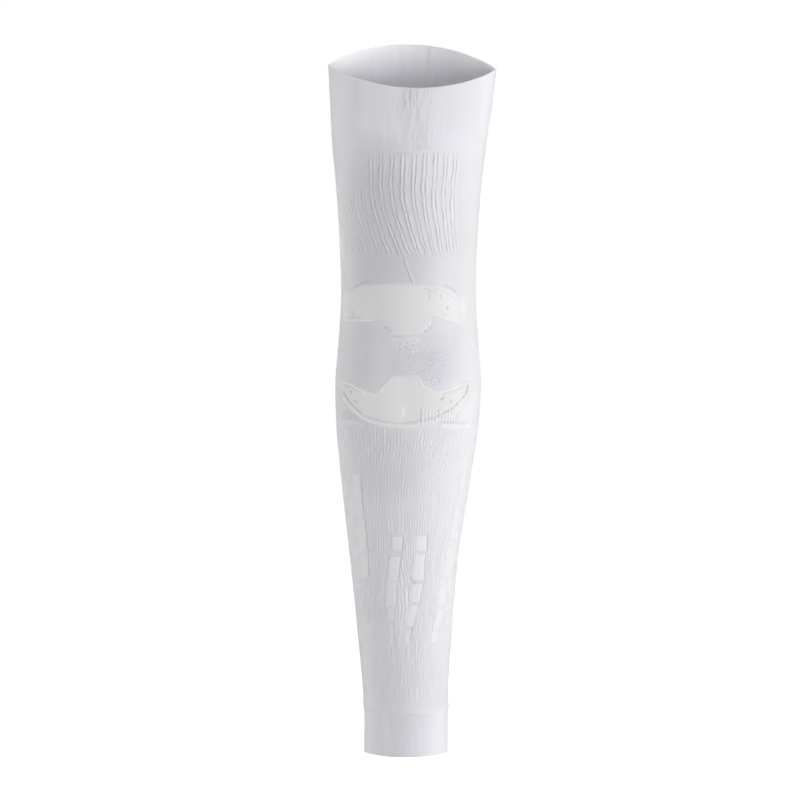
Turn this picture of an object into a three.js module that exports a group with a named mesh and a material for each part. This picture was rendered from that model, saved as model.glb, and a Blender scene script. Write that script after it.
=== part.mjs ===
// Arm compression sleeve in its worn form: an open knitted tube in five zones, with two elbow pads
// and four broken lines of flat strips on the forearm.
// Millimetres, +Z up the arm towards the shoulder, the pads on the -Y side.
// The origin is on the arm's axis, inside the hollow, at the elbow.
import * as THREE from 'three';

// Driving dimensions. A height is measured from the elbow, a turn in degrees round from the front,
// with the +X side at 90, and a lift outwards from the outer face of the plain knit.
const SEAM_GAP = 0.3;
const KNIT_WALL = 1.3;
const WELT_WALL = 2;
const FOLD_HEIGHT = 0.8;
const FOLD_ROUNDING = 0.3;
const PAD_THICKNESS = 0.9;
const STRIP_THICKNESS = 0.6;

const RIM_HEIGHT = 174.1;
const RIM_SLOPE = 0.285;
const RIM_TILT = -0.028;
const BAND_FOOT = 126;
const RIB_FOOT = 58;
const ELBOW_FOOT = -46;
const CUFF_TOP = -229;
const HEM_HEIGHT = -256.5;

const RIB_PAIRS = 14;
const RIB_FIRST = -72;
const RIB_PITCH = 8.4;
const RIB_SPLIT = 3.1;
const GROOVE_HALF = 0.75;
const GROOVE_DEPTH = 0.4;
const RIB_FADE = 7;
const LATE_RIBS = -34;
const LATE_START = 104;

const TURN_STEP = 7.5;
const OUTER_ROW = 13;
const RIBBED_ROW = 7.5;
const INNER_ROW = 26;
const PAD_ROWS = 4;

// Cross-sections from the wrist up. A crease of 1 is an oval, and a larger one pinches the two sides.
const SECTIONS = [
  { height: -256.5, halfWidth: 26.2, centre: -1.5, front: 20.6, back: 21.6, crease: 1.2 },
  { height: -229, halfWidth: 26.3, centre: -1.4, front: 22.4, back: 22.4, crease: 1.02 },
  { height: -215, halfWidth: 26.9, centre: -1.8, front: 23.2, back: 22.8, crease: 1 },
  { height: -186, halfWidth: 29.1, centre: -2.2, front: 25.2, back: 24.6, crease: 1 },
  { height: -135, halfWidth: 33.7, centre: -2.6, front: 29.4, back: 28.4, crease: 1 },
  { height: -85, halfWidth: 40.2, centre: -1.6, front: 34.6, back: 33.4, crease: 1 },
  { height: -47, halfWidth: 44.6, centre: -0.5, front: 37.8, back: 36.4, crease: 1 },
  { height: -22, halfWidth: 45.4, centre: -0.1, front: 38, back: 36.8, crease: 1 },
  { height: 3, halfWidth: 43.5, centre: 0, front: 36.8, back: 35.6, crease: 1 },
  { height: 32, halfWidth: 41.9, centre: 0.1, front: 35.4, back: 34.6, crease: 1.02 },
  { height: 54, halfWidth: 42.3, centre: 0, front: 35.2, back: 34.6, crease: 1.06 },
  { height: 79, halfWidth: 43.6, centre: 0.1, front: 35.4, back: 34.8, crease: 1.14 },
  { height: 104, halfWidth: 45.5, centre: 0.2, front: 35.6, back: 35.2, crease: 1.26 },
  { height: 129, halfWidth: 48.2, centre: 0.6, front: 35.4, back: 35.6, crease: 1.42 },
  { height: 154, halfWidth: 50.5, centre: 1.8, front: 34.8, back: 36, crease: 1.6 },
  { height: 175, halfWidth: 52.3, centre: 2.5, front: 34, back: 36, crease: 1.72 },
];

// How far the ribs lean aside by the height, in degrees, and the share of it that a rib takes by its turn.
const RIB_LEAN = [
  { height: 58, lean: 16.4 },
  { height: 60, lean: 15 },
  { height: 70, lean: 9.4 },
  { height: 80, lean: 4.7 },
  { height: 90, lean: 0.8 },
  { height: 101, lean: -1.2 },
  { height: 112, lean: -0.4 },
  { height: 126, lean: 0 },
];
const LEAN_SHARE = [
  { turn: -95, share: 0 },
  { turn: -75, share: 0.7 },
  { turn: -50, share: 0.95 },
  { turn: -12, share: 1 },
  { turn: 4, share: 0.8 },
  { turn: 13, share: 0.66 },
  { turn: 25, share: 0.52 },
  { turn: 37, share: 0.42 },
  { turn: 62, share: 0 },
];

// The soft ridge round the cuff's upper seam, by the distance below it.
const CUFF_RIDGE = [
  { below: 8, lift: 0 },
  { below: 5, lift: 0.6 },
  { below: 2, lift: 0.7 },
];

// The pads' outlines from left to right: where each edge stands at a turn round the elbow.
const UPPER_PAD = [
  { turn: -62, top: 36, bottom: 16.5 },
  { turn: -45, top: 41.2, bottom: 17.5 },
  { turn: -34, top: 42.6, bottom: 18 },
  { turn: -21, top: 43.7, bottom: 18.9 },
  { turn: -14, top: 44.1, bottom: 11.5 },
  { turn: -1, top: 44.5, bottom: 10.5 },
  { turn: 12, top: 43.2, bottom: 11.9 },
  { turn: 20, top: 42, bottom: 19.4 },
  { turn: 34, top: 39, bottom: 19 },
  { turn: 44, top: 35.2, bottom: 16.4 },
  { turn: 52, top: 27.6, bottom: 15.4 },
];
const LOWER_PAD = [
  { turn: -70, top: -20, bottom: -23 },
  { turn: -64, top: -18, bottom: -31.6 },
  { turn: -52, top: -19.4, bottom: -38.2 },
  { turn: -40, top: -22.3, bottom: -42.5 },
  { turn: -26, top: -24.8, bottom: -46 },
  { turn: -20, top: -19.4, bottom: -46.9 },
  { turn: -14, top: -13.2, bottom: -47.5 },
  { turn: 0, top: -12.9, bottom: -47.4 },
  { turn: 8, top: -13.6, bottom: -46.6 },
  { turn: 14, top: -20.8, bottom: -45.8 },
  { turn: 21, top: -23.3, bottom: -44.8 },
  { turn: 34, top: -21.6, bottom: -42.6 },
  { turn: 46, top: -19.4, bottom: -39 },
  { turn: 57, top: -18.7, bottom: -32.6 },
  { turn: 65, top: -23, bottom: -27 },
];

// The forearm's strips, line by line from the elbow down. A strip runs from turn `from` to turn `to`.
const STRIPS = [
  { line: 'left', top: -77.5, bottom: -94.7, from: -51.2, to: -52, width: 7.6 },
  { line: 'left', top: -95.7, bottom: -104.8, from: -50.4, to: -50, width: 7.2 },
  { line: 'left', top: -106, bottom: -127, from: -48, to: -47.8, width: 6.4 },
  { line: 'left', top: -128.5, bottom: -143.6, from: -47, to: -49, width: 5.8 },
  { line: 'left', top: -171.8, bottom: -182.6, from: -46.8, to: -47.4, width: 6 },
  { line: 'mid_left', top: -115.5, bottom: -125.1, from: -7.4, to: -8, width: 6.7 },
  { line: 'mid_left', top: -128.3, bottom: -143.4, from: -9, to: -13.8, width: 5.8 },
  { line: 'mid_left', top: -144.7, bottom: -160.2, from: -14.4, to: -16.2, width: 6.2 },
  { line: 'mid_left', top: -161.4, bottom: -169.3, from: -16.4, to: -16.6, width: 4.5 },
  { line: 'mid_left', top: -171, bottom: -185.3, from: -16.6, to: -17, width: 3.2 },
  { line: 'mid_right', top: -115.7, bottom: -125.3, from: 16.4, to: 16.8, width: 6.9 },
  { line: 'mid_right', top: -127.6, bottom: -143.7, from: 16.2, to: 15.3, width: 7 },
  { line: 'mid_right', top: -146.3, bottom: -158, from: 14.6, to: 11.6, width: 6.8 },
  { line: 'mid_right', top: -159.4, bottom: -174, from: 11, to: 5, width: 6 },
  { line: 'mid_right', top: -175.4, bottom: -185, from: 4.4, to: 1, width: 4 },
  { line: 'right', top: -77.9, bottom: -91.9, from: 59.6, to: 60, width: 4.4 },
  { line: 'right', top: -100, bottom: -119.6, from: 59, to: 57.3, width: 6.8 },
  { line: 'right', top: -125.2, bottom: -143.5, from: 54.8, to: 53, width: 7.4 },
  { line: 'right', top: -149.6, bottom: -162, from: 49, to: 47.4, width: 7.2 },
  { line: 'right', top: -163.4, bottom: -176, from: 47, to: 41.4, width: 5.8 },
  { line: 'right', top: -177.4, bottom: -185, from: 40.6, to: 37.8, width: 5.4 },
];

const material = (color, roughness) => new THREE.MeshStandardMaterial({ color, roughness, metalness: 0 });
const KNIT = material(0xe4e3ea, 0.9);
const WELT = material(0xe9e8ee, 0.85);
const PAD = material(0xeeefec, 0.75);
const STRIP = material(0xf0f1f0, 0.7);

const { degToRad, lerp, smoothstep } = THREE.MathUtils;

const COLUMNS = ['halfWidth', 'centre', 'front', 'back', 'crease'];
const profile = new THREE.CubicInterpolant(
  SECTIONS.map((row) => row.height),
  SECTIONS.flatMap((row) => COLUMNS.map((column) => row[column])),
  COLUMNS.length,
);

const lookUp = (rows, key, column) =>
  new THREE.LinearInterpolant(rows.map((row) => row[key]), rows.map((row) => row[column]), 1);
const leanAt = lookUp(RIB_LEAN, 'height', 'lean');
const leanShareAt = lookUp(LEAN_SHARE, 'turn', 'share');

// A point over the plain knit.
function knitPoint(turn, height, lift = 0) {
  const [halfWidth, centre, front, back, crease] = profile.evaluate(height);
  const facing = Math.cos(degToRad(turn));
  const depth = (facing > 0 ? front : back) + lift;
  const x = centre + (halfWidth + lift) * Math.sin(degToRad(turn));
  return new THREE.Vector3(x, -Math.sign(facing) * depth * Math.abs(facing) ** crease, height);
}

// A point over the top band, whose rows tip until the rim is low at the front and high at the back.
function bandPoint(turn, height, lift) {
  const point = knitPoint(turn, height, lift);
  const slope = RIM_SLOPE * point.y + RIM_TILT * (point.x - profile.evaluate(height)[1]);
  point.z += slope * ((height - BAND_FOOT) / (RIM_HEIGHT - BAND_FOOT));
  return point;
}

// A closed solid through loops of equal length. The loops either close on each other as a ring does,
// or the first and last are filled in across their two halves.
function skin(loops, isRing) {
  const count = loops[0].length;
  const index = [];
  const quad = (a, b, c, d) => index.push(a, b, c, a, c, d);
  const spans = isRing ? loops.length : loops.length - 1;
  for (let i = 0; i < spans; i++) {
    const here = i * count;
    const next = ((i + 1) % loops.length) * count;
    for (let j = 0; j < count; j++) {
      const k = (j + 1) % count;
      quad(here + j, here + k, next + k, next + j);
    }
  }
  if (!isRing) {
    const last = (loops.length - 1) * count;
    for (let j = 0; j < count / 2 - 1; j++) {
      const across = count - 1 - j;
      quad(j, across, across - 1, j + 1);
      quad(last + j, last + j + 1, last + across - 1, last + across);
    }
  }
  return new THREE.BufferGeometry()
    .setAttribute('position', new THREE.Float32BufferAttribute(loops.flat().flatMap((p) => p.toArray()), 3))
    .setIndex(index);
}

const range = (from, to, steps) => Array.from({ length: steps + 1 }, (_, i) => lerp(from, to, i / steps));
const spaced = (from, to, spacing) => range(from, to, Math.ceil(Math.abs(to - from) / spacing));
const evenTurns = range(-180, 180 - TURN_STEP, 360 / TURN_STEP - 1);

// A ring of wall from rows of { height, lift }, given up the outer face and down the inner face.
const wall = (rows, point = knitPoint, turns = evenTurns) =>
  skin(rows.map(({ height, lift }) => turns.map((turn) => point(turn, height, lift))), true);
const rowsAt = (heights, lift) => heights.map((height) => ({ height, lift }));
const fold = (height) => rowsAt([height], -WELT_WALL * FOLD_ROUNDING)
  .concat(rowsAt([height], -WELT_WALL * (1 - FOLD_ROUNDING)));

function topBand() {
  const foot = BAND_FOOT + SEAM_GAP / 2;
  const head = RIM_HEIGHT - FOLD_HEIGHT;
  const outer = rowsAt(spaced(foot, head, OUTER_ROW), 0);
  const inner = rowsAt(spaced(head, foot, INNER_ROW), -WELT_WALL);
  return wall([...outer, ...fold(RIM_HEIGHT), ...inner], bandPoint);
}

// The ribbed zone: a groove takes three columns, and all columns lean with the ribs.
function upperArmKnit() {
  const ribsEnd = RIB_FIRST + RIB_PITCH * RIB_PAIRS;
  const columns = evenTurns
    .filter((turn) => turn < RIB_FIRST - RIB_PITCH / 2 || turn > ribsEnd)
    .map((turn) => ({ turn, groove: 0 }));
  for (let pair = 0; pair < RIB_PAIRS; pair++)
    for (const side of [-1, 1])
      for (const edge of [-1, 0, 1])
        columns.push({
          turn: RIB_FIRST + RIB_PITCH * pair + (side * RIB_SPLIT) / 2 + edge * GROOVE_HALF,
          groove: edge === 0 ? 1 : 0,
        });
  columns.sort((a, b) => a.turn - b.turn);

  const start = (turn) => (turn < LATE_RIBS ? LATE_START : BAND_FOOT);
  const strength = (turn, height) =>
    smoothstep(start(turn) - height, 0, RIB_FADE) * smoothstep(height - RIB_FOOT, 0, RIB_FADE);
  const ribPoint = ({ turn, groove }, height, lift) => {
    const lean = leanAt.evaluate(height)[0] * leanShareAt.evaluate(turn)[0];
    const relief = lift === 0 ? GROOVE_DEPTH * groove * strength(turn, height) : 0;
    return knitPoint(turn + lean, height, lift - relief);
  };

  const foot = RIB_FOOT + SEAM_GAP / 2;
  const head = BAND_FOOT - SEAM_GAP / 2;
  const outer = rowsAt(spaced(foot, head, RIBBED_ROW), 0);
  const inner = rowsAt(spaced(head, foot, INNER_ROW), -KNIT_WALL);
  return wall([...outer, ...inner], ribPoint, columns);
}

function plainKnit(lower, upper) {
  const foot = lower + SEAM_GAP / 2;
  const head = upper - SEAM_GAP / 2;
  const outer = rowsAt(spaced(foot, head, OUTER_ROW), 0);
  return wall([...outer, ...rowsAt(spaced(head, foot, INNER_ROW), -KNIT_WALL)]);
}

function wristCuff() {
  const foot = HEM_HEIGHT + FOLD_HEIGHT;
  const head = CUFF_TOP - SEAM_GAP / 2;
  const ridge = CUFF_RIDGE.map(({ below, lift }) => ({ height: CUFF_TOP - below, lift }));
  const outer = [...rowsAt([foot], 0), ...ridge, ...rowsAt([head], 0)];
  return wall([...fold(HEM_HEIGHT).reverse(), ...outer, ...rowsAt([head, foot], -WELT_WALL)]);
}

// A skin over the knit, through columns of { turn, height }, from a seam's gap up to its thickness.
function overlay(columns, thickness) {
  const face = (column, lift) => column.map(({ turn, height }) => knitPoint(turn, height, lift));
  const loop = (column) => [...face(column, SEAM_GAP), ...face(column, SEAM_GAP + thickness).reverse()];
  return skin(columns.map(loop), false);
}

// A pad's columns stand no further apart than the tube's, so that it bends round with the knit.
function pad(outline) {
  const rows = outline.slice(0, 1);
  for (const row of outline.slice(1)) {
    const last = rows.at(-1);
    const steps = Math.ceil((row.turn - last.turn) / TURN_STEP);
    const blend = (column, share) => lerp(last[column], row[column], share);
    for (const share of range(0, 1, steps).slice(1))
      rows.push({ turn: blend('turn', share), top: blend('top', share), bottom: blend('bottom', share) });
  }
  const columns = rows.map(({ turn, top, bottom }) =>
    range(bottom, top, PAD_ROWS).map((height) => ({ turn, height })),
  );
  return overlay(columns, PAD_THICKNESS);
}

function strip({ top, bottom, from, to, width }) {
  const [halfWidth, , front] = profile.evaluate((top + bottom) / 2);
  const middle = degToRad((from + to) / 2);
  const perDegree = degToRad(Math.hypot(halfWidth * Math.cos(middle), front * Math.sin(middle)));
  const columns = range(-0.5, 0.5, 2).map((side) =>
    range(0, 1, 2).map((rise) => ({
      turn: lerp(to, from, rise) + (side * width) / perDegree,
      height: lerp(bottom, top, rise),
    })),
  );
  return overlay(columns, STRIP_THICKNESS);
}

const sleeve = new THREE.Group();
function add(name, geometry, finish) {
  const mesh = new THREE.Mesh(geometry, finish);
  mesh.name = name;
  sleeve.add(mesh);
}

add('top_band', topBand(), WELT);
add('upper_arm_knit', upperArmKnit(), KNIT);
add('elbow_knit', plainKnit(ELBOW_FOOT, RIB_FOOT), KNIT);
add('forearm_knit', plainKnit(CUFF_TOP, ELBOW_FOOT), KNIT);
add('wrist_cuff', wristCuff(), WELT);
add('upper_elbow_pad', pad(UPPER_PAD), PAD);
add('lower_elbow_pad', pad(LOWER_PAD), PAD);

const lines = Map.groupBy(STRIPS, (row) => row.line);
for (const [line, rows] of lines)
  rows.forEach((row, i) => add(`strip_${line}_${i + 1}`, strip(row), STRIP));

export default sleeve;
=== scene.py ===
import math

import bpy
import numpy as np
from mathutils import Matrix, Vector


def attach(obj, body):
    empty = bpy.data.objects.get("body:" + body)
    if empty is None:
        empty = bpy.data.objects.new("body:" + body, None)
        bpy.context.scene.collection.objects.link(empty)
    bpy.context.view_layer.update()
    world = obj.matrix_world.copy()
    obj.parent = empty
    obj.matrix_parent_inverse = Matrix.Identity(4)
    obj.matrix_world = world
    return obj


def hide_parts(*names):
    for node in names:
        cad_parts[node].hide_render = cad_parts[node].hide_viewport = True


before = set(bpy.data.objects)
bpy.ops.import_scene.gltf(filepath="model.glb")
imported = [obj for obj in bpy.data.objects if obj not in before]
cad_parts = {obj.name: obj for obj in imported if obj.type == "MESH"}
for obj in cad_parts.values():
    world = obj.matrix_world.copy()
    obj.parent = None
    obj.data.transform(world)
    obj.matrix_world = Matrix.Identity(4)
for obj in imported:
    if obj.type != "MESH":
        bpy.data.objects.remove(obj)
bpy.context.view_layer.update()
millimetre = 0.001
print("frame loaded:", len(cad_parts), "pieces")


# The sleeve's worn form. Sizes are in millimetres, heights run up from the elbow,
# and a turn is in degrees round from the front, with the +X side at 90.
sleeve = {
    "sections": (  # height, half width, centre, front depth, back depth, crease
        (-256.5, 26.2, -1.5, 20.6, 21.6, 1.45),
        (-229, 26.3, -1.4, 22.4, 22.4, 1.08),
        (-215, 26.9, -1.8, 23.2, 22.8, 1.00),
        (-186, 29.1, -2.2, 25.2, 24.6, 1.00),
        (-135, 33.7, -2.6, 29.4, 28.4, 1.00),
        (-85, 40.2, -1.6, 34.6, 33.4, 1.00),
        (-47, 44.6, -0.5, 37.8, 36.4, 1.00),
        (-22, 45.4, -0.1, 38.0, 36.8, 1.00),
        (3, 43.5, 0.0, 36.8, 35.6, 1.00),
        (32, 41.9, 0.1, 35.4, 34.6, 1.02),
        (54, 42.3, 0.0, 35.2, 34.6, 1.06),
        (79, 43.6, 0.1, 35.4, 34.8, 1.14),
        (104, 45.5, 0.2, 35.6, 35.2, 1.26),
        (129, 48.2, 0.6, 35.4, 35.6, 1.42),
        (154, 50.5, 1.8, 34.8, 36.0, 1.60),
        (175, 52.3, 2.5, 34.0, 36.0, 1.72),
    ),
    "rimHeight": 174.1,
    "rimSlope": 0.285,  # the rim is low at the front and high at the back
    "rimTilt": -0.028,  # and a little lower on the +X side
    "bandFoot": 126.0,
    "ribFoot": 58.0,
    "elbowFoot": -46.0,
    "cuffTop": -229.0,
    "hemHeight": -257.1,
    "knitWall": 1.3,
    "weltWall": 1.6,
    "seamGap": 0.02,
    "edgeRow": 0.06,  # a close row that keeps a seam's edge crisp
    "elbowWidth": 44.0,  # half width and depth for lengths measured round the elbow
    "elbowDepth": 37.0,
    "wales": 240,  # stitch columns round the tube
    "course": 0.95,  # height of a stitch
    "rimFold": 0.8,  # thickness of the folded edge at the rim and the hem
    "foldSteps": 8,
    "foldTaper": 10.0,
}
sectionRows = np.array(sleeve["sections"], float)
sectionHeights = sectionRows[:, 0]
sectionSlopes = np.gradient(sectionRows[:, 1:], sectionHeights, axis=0)


def sectionAt(height):
    below = np.clip(np.searchsorted(sectionHeights, height) - 1, 0, len(sectionHeights) - 2)
    gap = sectionHeights[below + 1] - sectionHeights[below]
    share = ((height - sectionHeights[below]) / gap)[..., None]
    gap = gap[..., None]
    start = (1 + 2 * share) * sectionRows[below, 1:] + gap * share * sectionSlopes[below]
    end = (3 - 2 * share) * sectionRows[below + 1, 1:] - gap * (1 - share) * sectionSlopes[below + 1]
    return np.moveaxis((1 - share) ** 2 * start + share ** 2 * end, -1, 0)


def onSleeve(turn, height, lift):
    halfWidth, centre, front, back, crease = sectionAt(height)
    facing = np.cos(np.radians(turn))
    depth = np.where(facing > 0, front, back) + lift
    x = centre + (halfWidth + lift) * np.sin(np.radians(turn))
    y = -np.sign(facing) * depth * np.abs(facing) ** crease
    rise = (height - sleeve["bandFoot"]) / (sleeve["rimHeight"] - sleeve["bandFoot"])
    slope = sleeve["rimSlope"] * y + sleeve["rimTilt"] * (x - centre)
    z = height + slope * np.clip(rise, 0, None)
    return np.stack((x, y, z), -1) * millimetre


def ramp(value, low, high):
    share = np.clip((value - low) / (high - low), 0, 1)
    return share * share * (3 - 2 * share)


def bell(distance, width):
    return np.exp(-((distance / width) ** 2))


def window(value, low, high, rise, fall):  # 1 between low and high, with soft ends
    return ramp(value, low, low + rise) * (1 - ramp(value, high - fall, high))


def spread(low, high, step):
    return np.linspace(low, high, int(math.ceil(abs(high - low) / step)) + 1)


noiseSize = 128  # a lattice of noise repeats after these cells


def softNoise(across, up, cells, seed):
    lattice = np.random.default_rng(seed).uniform(-1, 1, (cells, noiseSize))
    left = np.floor(across).astype(int)
    foot = np.floor(up).astype(int)
    shareAcross = ramp(across - left, 0, 1)
    shareUp = ramp(up - foot, 0, 1)
    near = left % cells
    far = (left + 1) % cells
    rows = []
    for row in (foot % noiseSize, (foot + 1) % noiseSize):
        rows.append(lattice[near, row] * (1 - shareAcross) + lattice[far, row] * shareAcross)
    return rows[0] * (1 - shareUp) + rows[1] * shareUp


def roundNoise(turn, height, cells, tall, seed):  # so many cells round the tube, each this tall
    return softNoise(turn / 360 * cells, height / tall, cells, seed)


def strayNoise(turn, height, layers):  # each layer is its depth and a round noise
    return sum(depth * roundNoise(turn, height, *cells) for depth, *cells in layers)


def arcNoise(turn, height, wide, tall, seed):  # cells of this size, measured round the elbow
    return softNoise(arc(turn) / wide, height / tall, noiseSize, seed)


arcStep = 0.25  # degrees
arcTurns = np.linspace(-180, 180, round(360 / arcStep) + 1)
arcSteps = np.radians(np.hypot(sleeve["elbowWidth"] * np.cos(np.radians(arcTurns)),
                               sleeve["elbowDepth"] * np.sin(np.radians(arcTurns)))) * arcStep
arcLengths = np.cumsum(arcSteps)
arcLengths = arcLengths - np.interp(0, arcTurns, arcLengths)


def arc(turn):
    return np.interp(turn, arcTurns, arcLengths)


def smoothRoute(points, perSpan=6):
    points = np.array(points, float)
    place = np.arange(len(points))
    slopes = np.gradient(points, axis=0)
    fine = np.linspace(0, len(points) - 1, (len(points) - 1) * perSpan + 1)
    below = np.clip(fine.astype(int), 0, len(points) - 2)
    share = (fine - place[below])[:, None]
    start = (1 + 2 * share) * points[below] + share * slopes[below]
    end = (3 - 2 * share) * points[below + 1] - (1 - share) * slopes[below + 1]
    return (1 - share) ** 2 * start + share ** 2 * end


def lineGap(turn, height, route):
    place = np.stack((arc(turn), height), -1)
    corners = np.stack((arc(np.array(route)[:, 0]), np.array(route)[:, 1]), -1)
    nearest = np.full(turn.shape, np.inf)
    for start, end in zip(corners[:-1], corners[1:]):
        step = end - start
        along = np.clip(((place - start) @ step) / max(step @ step, 1e-9), 0, 1)
        away = place - start - along[..., None] * step
        nearest = np.minimum(nearest, np.hypot(away[..., 0], away[..., 1]))
    return nearest


# Meshes: grids of points whose rows close on themselves as a wall does. Map "knit" counts the stitches.
# Map "lie" holds a mask, and a tone that runs from -1 in a deep groove to 1 on a high ridge; the tone
# paints shade into the grooves and highlights onto the ridges.
def gridMesh(name, points, wale, course, closed, mask, tone):
    rows, columns = points.shape[:2]
    index = np.arange(rows * columns).reshape(rows, columns)
    row = np.arange(rows)[:, None]
    column = np.arange(columns if closed else columns - 1)[None, :]
    corners = ((row, column), (row, column + 1), (row + 1, column + 1), (row + 1, column))
    quads = np.stack([index[r % rows, c % columns] for r, c in corners], -1).reshape(-1, 4)
    knit = np.stack([np.stack((wale[r % rows, c], course[r % rows, c % columns]), -1)
                     for r, c in corners], -2).reshape(-1, 2)
    if not closed:  # the two open ends are filled in across the loop
        near = np.arange(rows // 2 - 1)
        far = rows - 1 - near
        left = np.stack((index[near, 0], index[near + 1, 0], index[far - 1, 0], index[far, 0]), -1)
        right = np.stack((index[near, -1], index[far, -1], index[far - 1, -1], index[near + 1, -1]), -1)
        ends = np.concatenate((left, right))
        quads = np.concatenate((quads, ends))
        flatWale = wale[:, :columns].reshape(-1)
        endKnit = np.stack((flatWale[ends], course.reshape(-1)[ends]), -1)
        knit = np.concatenate((knit, endKnit.reshape(-1, 2)))
    lie = np.stack((mask.reshape(-1)[quads], tone.reshape(-1)[quads]), -1)
    mesh = bpy.data.meshes.new(name)
    mesh.vertices.add(rows * columns)
    mesh.vertices.foreach_set("co", points.reshape(-1).astype(np.float32))
    mesh.loops.add(quads.size)
    mesh.loops.foreach_set("vertex_index", quads.reshape(-1).astype(np.int32))
    mesh.polygons.add(len(quads))
    mesh.polygons.foreach_set("loop_start", np.arange(0, quads.size, 4, dtype=np.int32))
    mesh.update(calc_edges=True)
    mesh.shade_smooth()
    for layer, values in (("knit", knit), ("lie", lie)):
        mesh.uv_layers.new(name=layer).data.foreach_set("uv", values.reshape(-1).astype(np.float32))
    mesh.validate()
    return mesh


def addPiece(name, mesh, slot, *nodes):
    piece = bpy.data.objects.new(name, mesh)
    bpy.context.scene.collection.objects.link(piece)
    mesh.materials.append(cloth[slot])
    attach(piece, "root")
    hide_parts(*nodes)
    return piece


# A wall's rows, up the outer face and down the inner: height, lift and how much of the relief it takes.
def wallLoop(outer, inner, walls, crown=(), hem=(), innerShare=0.0):
    walls = np.broadcast_to(walls, inner.shape)
    rows = [(height, 0.0, 1.0) for height in outer]
    rows += [(height, lift, 0.0) for height, lift in crown]
    rows += [(height, -wall, innerShare) for height, wall in zip(inner, walls)]
    rows += [(height, lift, 0.0) for height, lift in hem]
    return np.array(rows)


def foldRows(edge, side):  # half a round from the outer face to the inner
    radius = sleeve["rimFold"] / 2
    bends = np.linspace(0, math.pi, sleeve["foldSteps"] + 1)[1:-1]
    return [(edge + side * radius * math.sin(bend), -radius * (1 - math.cos(bend))) for bend in bends]


def foldedWall(inner, edge):
    fold = sleeve["rimFold"]
    return fold + (sleeve["weltWall"] - fold) * ramp(np.abs(inner - edge), 0, sleeve["foldTaper"])


def singleWall(part, foot, head):  # single knit, with half of a seam's gap at each end
    foot = foot + sleeve["seamGap"] / 2
    head = head - sleeve["seamGap"] / 2
    outer = edgedRows(foot, head, part["rowStep"])
    return wallLoop(outer, spread(head, foot, part["innerStep"]), sleeve["knitWall"])


def edgedRows(foot, head, step):
    close = sleeve["edgeRow"]
    return np.concatenate(([foot], spread(foot + close, head - close, step), [head]))


def frontColumns(low, high, fine, coarse):
    front = spread(low, high, fine)
    back = spread(high, low + 360, coarse)
    return np.concatenate((front, back[1:-1]))


def innerFace(loop, columns):
    inner = loop[:, 1:2] < -sleeve["rimFold"] / 2
    return np.broadcast_to(np.where(inner, 1.0, 0.0), (len(loop), len(columns)))


def tubeMesh(name, columns, loop, relief, lean=None, mask=None):
    rest, height = np.meshgrid(columns, loop[:, 0])
    turn = rest if lean is None else rest + lean(rest, height)
    lift, tone = relief(rest, height)
    points = onSleeve(turn, height, loop[:, 1:2] + loop[:, 2:3] * lift)
    tone = np.clip(loop[:, 2:3] * tone, -1, 1)
    mask = np.zeros_like(tone) if mask is None else mask
    wale = np.append(columns, columns[0] + 360) / 360 * sleeve["wales"]
    wale = np.broadcast_to(wale, (len(loop), len(columns) + 1))
    return gridMesh(name, points, wale, height / sleeve["course"], True, mask, tone)


def skinMesh(name, turn, height, face, under, mask, tone):  # a closed skin that lies on a tube
    sides = ((turn, turn), (height, height), (face, under), (mask, mask), (tone, tone))
    turns, heights, lift, mask, tone = [np.concatenate((front, back[::-1])) for front, back in sides]
    points = onSleeve(turns, heights, lift)
    wale = turns / 360 * sleeve["wales"]
    return gridMesh(name, points, wale, heights / sleeve["course"], False, mask, tone)


# Shader maths: a wire is one socket of a material's nodes.
class Wire:
    def __init__(self, tree, socket=None):
        self.tree = tree
        self.socket = socket

    def node(self, kind, settings=None, sockets=None, output=0):
        made = self.tree.nodes.new(kind)
        for key, value in (settings or {}).items():
            setattr(made, key, value)
        for key, value in (sockets or {}).items():
            if isinstance(value, Wire):
                self.tree.links.new(value.socket, made.inputs[key])
            else:
                made.inputs[key].default_value = value
        return Wire(self.tree, made.outputs[output] if made.outputs else None)

    def math(self, operation, *values):
        return self.node("ShaderNodeMath", {"operation": operation}, dict(enumerate(values)))

    def split(self, vector):
        parts = self.node("ShaderNodeSeparateXYZ", None, {"Vector": vector}).socket.node.outputs
        return [Wire(self.tree, part) for part in parts]

    def mix(self, share, one, other, blend="MIX"):
        return self.node("ShaderNodeMix", {"data_type": "RGBA", "blend_type": blend},
                         {"Factor": share, 6: one, 7: other}, 2)

    def __add__(self, other):
        return self.math("ADD", self, other)

    def __radd__(self, other):
        return self.math("ADD", other, self)

    def __sub__(self, other):
        return self.math("SUBTRACT", self, other)

    def __rsub__(self, other):
        return self.math("SUBTRACT", other, self)

    def __mul__(self, other):
        return self.math("MULTIPLY", self, other)

    def __rmul__(self, other):
        return self.math("MULTIPLY", other, self)

    def __abs__(self):
        return self.math("ABSOLUTE", self)


def newMaterial(name):
    material = bpy.data.materials.new(name)
    material.use_nodes = True
    material.node_tree.nodes.clear()
    return material, Wire(material.node_tree)


# One stitch: two slanting legs in each wale, lying row over row.
yarn = {
    "rowDip": 0.45,  # height of a stitch where two rows meet
    "stitchShade": 0.62,  # share of the shade that follows the stitches, where the rest follows the fuzz
    "roughnessSwing": 0.12,
}


def stitchHeight(wale, course, slant):
    leg = abs(wale.math("FRACT", wale) - 0.5)
    across = wale.math("SINE", leg * (2 * math.pi))
    rows = 0.5 + 0.5 * wale.math("COSINE", (course + leg * slant) * (2 * math.pi))
    return across * (yarn["rowDip"] + (1 - yarn["rowDip"]) * rows)


def between(value, none, full):
    return value.node("ShaderNodeMapRange", {"interpolation_type": "SMOOTHSTEP"},
                      {"Value": value, "From Min": none, "From Max": full, "To Min": 0.0, "To Max": 1.0})


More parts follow.
